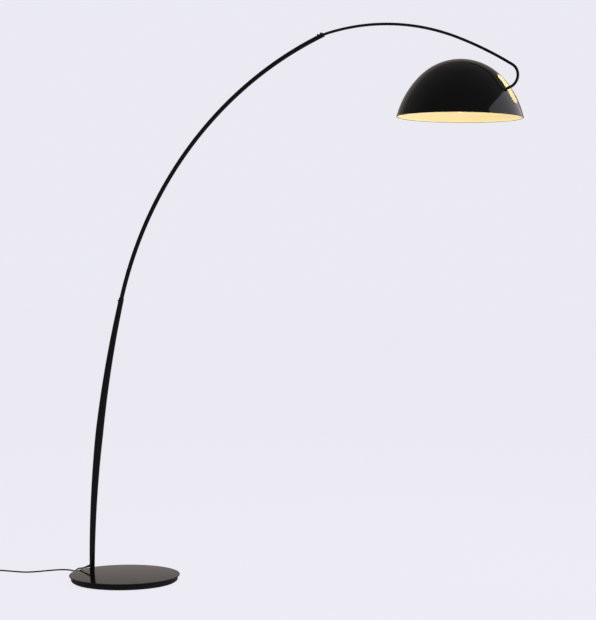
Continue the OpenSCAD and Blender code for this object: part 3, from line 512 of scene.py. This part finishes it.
# shade
shadeShape = {
    "wide": 0.411, "high": 0.187, "crown": 0.185, "crownAngle": 45, "wall": 0.0012, "hem": 0.0034,
    "hemProud": 0.0003, "slotCut": 0.03,      # how far the hem stands out, half depth of the slot's cut
    "fromHinge": (-0.075, -0.054),   # axis and rim, from the hinge
    "slotLong": 0.114, "slotWide": 0.046, "slotSlope": 32.5, "slotReach": 0.090, "droop": 1.0,
}
headPlace = Matrix.Translation(hinge) @ Matrix.Rotation(radians(shadeShape["droop"]), 4, "Y")
shadePlace = headPlace @ Matrix.Translation((shadeShape["fromHinge"][0], 0, shadeShape["fromHinge"][1]))


def domeProfile(inset, n=40):
    s = shadeShape
    c, a0 = s["crown"], radians(s["crownAngle"])
    edge = (c * sin(a0), s["high"] - c * (1 - cos(a0)))
    run = s["wide"] / 2 - edge[0]
    slope = atan2(edge[1], run)
    a1 = 2 * slope - a0
    side = hypot(run, edge[1]) / (2 * sin(slope - a0))
    mid = (edge[0] - side * sin(a0), edge[1] - side * cos(a0))
    c, side, base = c - inset, side - inset, s["high"] - c
    crown = [(c * sin(a0 * i / n), base + c * cos(a0 * i / n)) for i in range(n + 1)]
    turns = [a0 + (a1 - a0) * i / n for i in range(1, n + 1)]
    return crown + [(mid[0] + side * sin(t), mid[1] + side * cos(t)) for t in turns]


def makeShade():
    s = shadeShape
    outer, inner = domeProfile(0), domeProfile(s["wall"])
    hem, r = s["hem"] / 2, s["wide"] / 2 - s["hem"] / 2 + s["hemProud"]
    inner = [p for p in inner if p[1] > 0.6 * hem]
    roll = arc(r, 0, hem, 20, -200, 20)
    profile = outer[:-1] + roll + inner[::-1]
    dome = turned("domeShade", profile, shadePlace, finish["shade_lacquer"], 240)
    dome.data.materials.append(cream)
    cutSlot(dome)
    inward = shadePlace.inverted()
    for f in dome.data.polygons:
        p, n = inward @ f.center, inward.to_3x3() @ f.normal
        flat = Vector((p.x, p.y, 0))
        facesIn = n.dot(Vector((p.x, p.y, p.z + 0.02))) < 0
        f.material_index = 1 if facesIn and (p.z > 0.002 or flat.length < r - 0.9 * hem) else 0
    finishPiece(dome, "head", "shade_lacquer", "shade")
    return dome


def cutSlot(dome):
    # the rod comes in through a long round-ended slot
    s = shadeShape
    rodHeading = rodStations[-1][1] + 180
    reach = s["slotReach"]
    half, r = (s["slotLong"] - s["slotWide"]) / 2, s["slotWide"] / 2
    rim = [(half + r * cos(a), r * sin(a)) for a in [radians(-90 + 180 * i / 24) for i in range(25)]]
    rim += [(-x, -y) for x, y in rim]
    mid = Vector((reach * cos(radians(rodHeading)), 0, reach * sin(radians(rodHeading))))
    place = headPlace @ Matrix.Translation(mid) @ Matrix.Rotation(radians(90 - s["slotSlope"]), 4, "Y")
    n = len(rim)
    verts = [place @ Vector((x, y, z)) for z in (-s["slotCut"], s["slotCut"]) for x, y in rim]
    faces = [tuple(range(n))[::-1], tuple(range(n, 2 * n))]
    faces += [(k, (k + 1) % n, n + (k + 1) % n, n + k) for k in range(n)]
    tool = newPiece("slotCutter", verts, faces, [])
    cut = dome.modifiers.new("slot", "BOOLEAN")
    cut.object, cut.operation, cut.solver = tool, "DIFFERENCE", "EXACT"
    graph = bpy.context.evaluated_depsgraph_get()
    done = bpy.data.meshes.new_from_object(dome.evaluated_get(graph))
    dome.modifiers.clear()
    dome.data = done
    bpy.data.objects.remove(tool)
    sharpen(dome, 40)
    dome.data.polygons.foreach_set("use_smooth", [True] * len(dome.data.polygons))


domeShade = makeShade()
print("shade made,", len(domeShade.data.polygons), "faces")

# bulb and its cap
bulbShape = {"wide": 0.060, "long": 0.080, "neck": 0.0135, "neckAngle": 20, "cap": 0.0264,
             "capLong": 0.022, "thread": 0.0006, "pitch": 0.0036, "wall": 0.001, "lightSize": 0.031}
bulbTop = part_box("bulb_cap")[0].z


def makeBulb():
    b = bulbShape
    r, a = b["wide"] / 2, radians(b["neckAngle"])
    capPoint = headPlace.inverted() @ Vector((0, 0, bulbTop))
    top = capPoint.z
    place = headPlace @ Matrix.Translation((shadeShape["fromHinge"][0], 0, top))
    mid = -b["long"] + r
    start = (r * cos(a), mid + r * sin(a))
    neck = []
    for i in range(1, 13):      # flank that curves into the neck
        t = i / 12
        narrowing = b["neck"] - start[0]
        neck.append((start[0] + narrowing * easeIn(t) * 0.35 + narrowing * t * 0.65, start[1] - start[1] * t))
    outer = [(0, mid - r)] + arc(0, mid, r, -86, degrees(a), 40) + neck
    glass = b["wall"]
    wall = [(max(0, p[0] - glass), p[1] + (glass if p[0] < 0.01 else 0)) for p in outer]
    globe = turned("opalBulb", outer + wall[::-1], place, finish["opal_glass"], 96)
    finishPiece(globe, "head", "opal_glass", "bulb_globe")

    ridges = []
    n = 60
    for i in range(n + 1):
        h = b["capLong"] * i / n
        ridges.append((b["cap"] / 2 - b["thread"] * (1 + cos(2 * pi * h / b["pitch"])) / 2, h))
    end = b["capLong"]
    tail = [(b["cap"] / 2 - 0.002, end), (0.006, end + 0.004), (0.0045, end + 0.0042), (0.0045, end + 0.0050),
            (0, end + 0.0055)]
    cap = turned("bulbCap", [(0, 0)] + ridges + tail, place, finish["nickel"], 64)
    finishPiece(cap, "head", "nickel", "bulb_cap")
    return place @ Vector((0, 0, mid))


bulbMiddle = makeBulb()

# strain relief at the outlet
reliefShape = {"up": 0.022, "slope": 20, "flange": 0.0106, "long": 0.032, "root": 0.0092, "end": 0.0069,
               "ribs": 5, "rib": 0.0005, "wallRadius": 0.0096}


def makeRelief():
    g = reliefShape
    spot = along(foot, 90, lowerRadius, degrees(g["up"] / lowerRadius))
    a = radians(180 + g["slope"])
    turn = Vector((cos(a), 0, sin(a))).to_track_quat("Z", "Y").to_matrix().to_4x4()
    place = Matrix.Translation((spot[0], 0, spot[1])) @ turn
    wall, bore = g["wallRadius"], cordSize / 2
    profile = [(bore, wall - 0.003), (0.0036, wall - 0.003), (0.0036, wall - 0.0015)]
    profile += [(g["flange"] / 2, wall - 0.0015)]
    profile += arc(g["flange"] / 2 - 0.0006, wall + 0.0018, 0.0006, 0, 90, 6)
    n = 60
    for i in range(n + 1):
        t = i / n
        z = wall + 0.0026 + (g["long"] - wall - 0.0032) * t
        wave = sin(pi * g["ribs"] * t) ** 2
        profile.append((g["root"] / 2 + (g["end"] - g["root"]) / 2 * t - g["rib"] * wave, z))
    profile += [(g["end"] / 2 - 0.0004, g["long"]), (bore, g["long"])]
    relief = turned("strainRelief", profile, place, finish["black_plastic"], 48)
    finishPiece(relief, "stand", "black_plastic", "cord_gland")
    return place @ Vector((0, 0, g["long"]))


reliefTip = makeRelief()

# strap round the coil
tieShape = {"angle": 150, "wide": 0.012, "thick": 0.0009}


def makeTie():
    t = tieShape
    a = radians(t["angle"])
    outward = Vector((cos(a), sin(a), 0))
    alongStrap = Vector((-sin(a), cos(a), 0))
    middle = Vector((*coil["middle"], 0))
    r = cordSize / 2
    radii, low, high = coil["radii"], coil["low"], coil["high"]
    # goes round the two outer low turns and the high one as a stretched band
    hull = []
    for c, z, a0, a1 in ((radii[2], low, 180, 270), (radii[0], low, 270, 380), (radii[3], high, 60, 150)):
        hull += arc(c, z, r + 0.0001, a0, a1, 8)
    n = len(hull)
    verts, faces = [], []
    for grow in (0, t["thick"]):
        for side in (-1, 1):
            for k, (x, z) in enumerate(hull):
                px, pz = hull[(k + 1) % n][0] - hull[k - 1][0], hull[(k + 1) % n][1] - hull[k - 1][1]
                d = hypot(px, pz)
                out = (pz / d * grow, -px / d * grow)
                verts.append(middle + outward * (x + out[0]) + Vector((0, 0, max(0.0002, z + out[1])))
                             + alongStrap * side * t["wide"] / 2)
    for k in range(n):
        m = (k + 1) % n
        faces += [(k, m, n + m, n + k), (2 * n + k, 3 * n + k, 3 * n + m, 2 * n + m),
                  (k, 2 * n + k, 2 * n + m, m), (n + k, n + m, 3 * n + m, 3 * n + k)]
    tie = sharpen(newPiece("coilStrap", verts, faces, [finish["black_plastic"]]), 50)
    finishPiece(tie, "stand", "black_plastic", "cord_tie")
    return tie


coilStrap = makeTie()

# floor, surroundings and light
studio = {
    "paper": (0.831, 0.823, 0.888),
    "floorShade": 0.10,       # share of the floor that takes light and shadow
    "floorGlow": 1.093,       # makes up for the shaded share, so the floor meets the wall unseen
    "ahead": (0.34, 0.30, 0.285),
    "beside": (0.15, 0.142, 0.138),
    "behind": (0.10, 0.096, 0.095),
    "floorMirror": 0.22,      # how bright the floor is to everything but the camera
    "card": {"out": 1.5, "along": 0.62, "middle": 1.85, "size": (3.72, 1.94), "power": 21,
             "colour": (0.93, 0.92, 1.0)},
    "top": {"place": (0.4, 0.6, 4.2), "target": (0.5, 0.2, 0.8), "size": (2.6, 2.6), "power": 30},
    "bulb": {"power": 0.88, "colour": (1.0, 0.93, 0.76)},
}


def makeFloor():
    edge = 40
    corners = [(-edge, -edge, 0), (edge, -edge, 0), (edge, edge, 0), (-edge, edge, 0)]
    floor = newPiece("floorSheet", corners, [(0, 1, 2, 3)], [])
    mat = bpy.data.materials.new("paperFloor")
    mat.use_nodes = True
    tree = mat.node_tree
    tree.nodes.clear()
    out = tree.nodes.new("ShaderNodeOutputMaterial")
    mix = tree.nodes.new("ShaderNodeMixShader")
    glow = tree.nodes.new("ShaderNodeEmission")
    glow.inputs["Color"].default_value = [*studio["paper"], 1]
    seen = tree.nodes.new("ShaderNodeLightPath")
    power = tree.nodes.new("ShaderNodeMapRange")
    power.inputs["To Min"].default_value = studio["floorMirror"]
    power.inputs["To Max"].default_value = studio["floorGlow"]
    tree.links.new(seen.outputs["Is Camera Ray"], power.inputs["Value"])
    tree.links.new(power.outputs["Result"], glow.inputs["Strength"])
    matte = tree.nodes.new("ShaderNodeBsdfDiffuse")
    matte.inputs["Color"].default_value = [*studio["paper"], 1]
    mix.inputs["Fac"].default_value = studio["floorShade"]
    tree.links.new(glow.outputs[0], mix.inputs[1])
    tree.links.new(matte.outputs[0], mix.inputs[2])
    tree.links.new(mix.outputs[0], out.inputs["Surface"])
    floor.data.materials.append(mat)


def makeSurroundings():
    world = bpy.data.worlds.new("studioAir")
    scene.world = world
    world.use_nodes = True
    tree = world.node_tree
    tree.nodes.clear()
    out = tree.nodes.new("ShaderNodeOutputWorld")
    seen = tree.nodes.new("ShaderNodeLightPath")
    coords = tree.nodes.new("ShaderNodeTexCoord")
    facing = tree.nodes.new("ShaderNodeVectorMath")
    facing.operation = "DOT_PRODUCT"
    facing.inputs[1].default_value = (*shot["heading"], 0.0)
    ramp = tree.nodes.new("ShaderNodeValToRGB")
    ramp.color_ramp.elements[0].position = 0.3
    ramp.color_ramp.elements[0].color = [*studio["behind"], 1]
    ramp.color_ramp.elements[1].position = 0.97
    ramp.color_ramp.elements[1].color = [*studio["ahead"], 1]
    ramp.color_ramp.elements.new(0.80).color = [*studio["beside"], 1]
    half = tree.nodes.new("ShaderNodeMath")
    half.operation = "MULTIPLY_ADD"
    half.inputs[1].default_value, half.inputs[2].default_value = 0.5, 0.5
    paper = tree.nodes.new("ShaderNodeBackground")
    paper.inputs["Color"].default_value = [*studio["paper"], 1]
    air = tree.nodes.new("ShaderNodeBackground")
    mix = tree.nodes.new("ShaderNodeMixShader")
    tree.links.new(coords.outputs["Generated"], facing.inputs[0])
    tree.links.new(facing.outputs["Value"], half.inputs[0])
    tree.links.new(half.outputs[0], ramp.inputs["Fac"])
    tree.links.new(ramp.outputs["Color"], air.inputs["Color"])
    tree.links.new(seen.outputs["Is Camera Ray"], mix.inputs["Fac"])
    tree.links.new(air.outputs[0], mix.inputs[1])
    tree.links.new(paper.outputs[0], mix.inputs[2])
    tree.links.new(mix.outputs[0], out.inputs["Surface"])


def softbox(name, place, target, size, power, colour=(1, 1, 1)):
    lamp = bpy.data.lights.new(name, "AREA")
    lamp.shape, lamp.size, lamp.size_y = "RECTANGLE", size[0], size[1]
    lamp.energy, lamp.color = power, colour
    obj = bpy.data.objects.new(name, lamp)
    scene.collection.objects.link(obj)
    obj.location = place
    obj.rotation_mode = "QUATERNION"
    obj.rotation_quaternion = (Vector(target) - Vector(place)).to_track_quat("-Z", "Y")
    obj.visible_camera = False
    return obj


def lightStudio():
    # soft light from above that the lacquer doesn't mirror
    above = studio["top"]
    top = softbox("topSoft", above["place"], above["target"], above["size"], above["power"])
    top.visible_glossy = False
    # long upright card on the right, which the side of the dome mirrors
    card = studio["card"]
    ahead = Vector((*shot["heading"], 0))
    right = ahead.cross(Vector((0, 0, 1)))
    middle = hinge + right * card["out"] + ahead * card["along"]
    middle.z = card["middle"]
    softbox("rightCard", middle, middle - right, card["size"], card["power"], card["colour"])


def lightBulb():
    lamp = bpy.data.lights.new("bulbLight", "POINT")
    lamp.energy, lamp.color = studio["bulb"]["power"], studio["bulb"]["colour"]
    lamp.shadow_soft_size = bulbShape["lightSize"]
    obj = bpy.data.objects.new("bulbLight", lamp)
    scene.collection.objects.link(obj)
    obj.location = bulbMiddle
    obj.visible_glossy = False
    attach(obj, "head")
    # the globe glows by itself, and its light comes from the lamp inside
    bpy.data.objects["opalBulb"].visible_shadow = False


makeFloor()
makeSurroundings()
lightStudio()
lightBulb()
print("studio ready")
